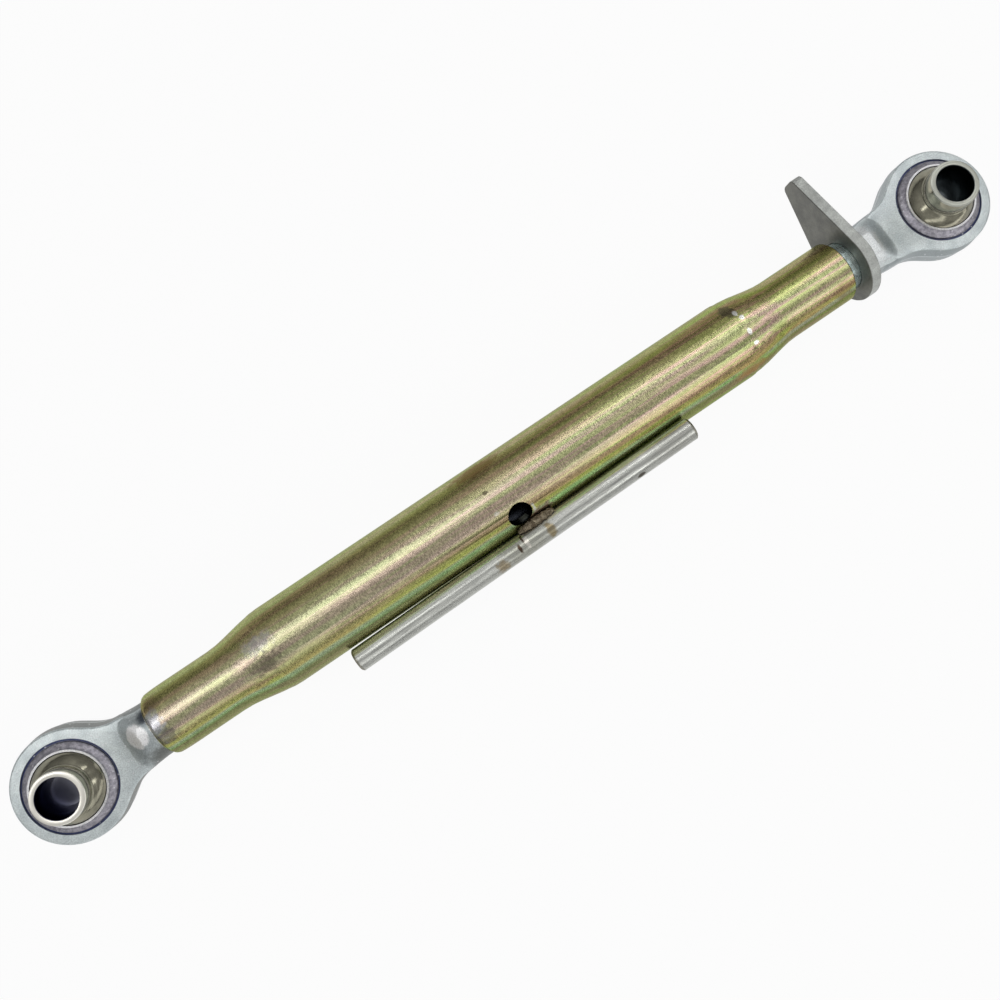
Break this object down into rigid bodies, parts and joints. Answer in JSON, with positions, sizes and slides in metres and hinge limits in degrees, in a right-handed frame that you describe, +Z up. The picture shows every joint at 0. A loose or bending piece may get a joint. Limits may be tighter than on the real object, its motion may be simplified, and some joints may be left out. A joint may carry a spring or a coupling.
{
  "type": "tractor top link",
  "caption": "Turnbuckle top link for a tractor linkage: swaged zinc-plated barrel with a welded tommy bar, forged swivel-ball eyes on threaded shanks and a lever lock plate.",
  "frame": {"origin": "on the surface that the link lies on, at the middle of its outline seen from above", "axes": "+X along the barrel toward the eye with the lock plate, +Y toward the lock plate's lever, +Z up along the pin bores"},
  "size_m": [0.5782, 0.0858, 0.0534],
  "materials": {
    "yellow_zinc": "yellow zinc chromate over drawn steel tube, with green and pink bands along it",
    "bright_zinc": "bright zinc plate over drawn round bar, browned near the welds",
    "weld_metal": "rough weld, plated over, brownish",
    "shank_zinc": "bluish zinc plate over turned steel",
    "forged_zinc": "bluish-white zinc plate over shot-blasted forging",
    "polished_steel": "polished hardened steel ball, plated",
    "dull_zinc": "dull grey zinc plate over flame-cut plate"
  },
  "bodies": {
    "barrel": {"barrel_tube": "yellow_zinc", "tommy_bar": "bright_zinc", "weld_bead_near": "weld_metal", "weld_bead_far": "weld_metal"},
    "left_shank": {"left_threaded_shank": "shank_zinc"},
    "left_eye": {"left_eye": "forged_zinc"},
    "left_ball": {"left_ball": "polished_steel"},
    "right_shank": {"right_threaded_shank": "shank_zinc"},
    "right_eye": {"right_eye": "forged_zinc"},
    "right_ball": {"right_ball": "polished_steel"},
    "lock_plate": {"lock_plate": "dull_zinc"}
  },
  "joints": [
    {"name": "left_shank_travel", "type": "slide", "parent": "barrel", "child": "left_shank", "axis": [-1, 0, 0], "range_m": [0, 0.096]},
    {"name": "left_eye_turn", "type": "hinge", "parent": "left_shank", "child": "left_eye", "pos_m": [-0.20795, -0.00914, 0.02672], "axis": [1, 0, 0], "range_deg": [0, 11520]},
    {"name": "left_ball_tilt", "type": "hinge", "parent": "left_eye", "child": "left_ball", "pos_m": [-0.26095, -0.00914, 0.02672], "axis": [0, 0.9981, 0.061], "range_deg": [-15, 15]},
    {"name": "right_shank_travel", "type": "slide", "parent": "barrel", "child": "right_shank", "axis": [1, 0, 0], "range_m": [0, 0.096]},
    {"name": "right_eye_turn", "type": "hinge", "parent": "right_shank", "child": "right_eye", "pos_m": [0.20795, -0.00914, 0.02672], "axis": [1, 0, 0], "range_deg": [0, 11520]},
    {"name": "right_ball_tilt", "type": "hinge", "parent": "right_eye", "child": "right_ball", "pos_m": [0.26095, -0.00914, 0.02672], "axis": [0, 0.993, -0.1184], "range_deg": [-15, 15]},
    {"name": "lock_plate_turn", "type": "hinge", "parent": "right_eye", "child": "lock_plate", "pos_m": [0.20465, -0.00914, 0.02672], "axis": [1, 0, 0], "range_deg": [-756, 0]}
  ],
  "couplings": [
    {"joint": "left_eye_turn", "follows": "left_shank_travel", "rad_per_m": 2094.4},
    {"joint": "right_shank_travel", "follows": "left_shank_travel", "ratio": 1},
    {"joint": "right_eye_turn", "follows": "left_shank_travel", "rad_per_m": 2094.4}
  ]
}
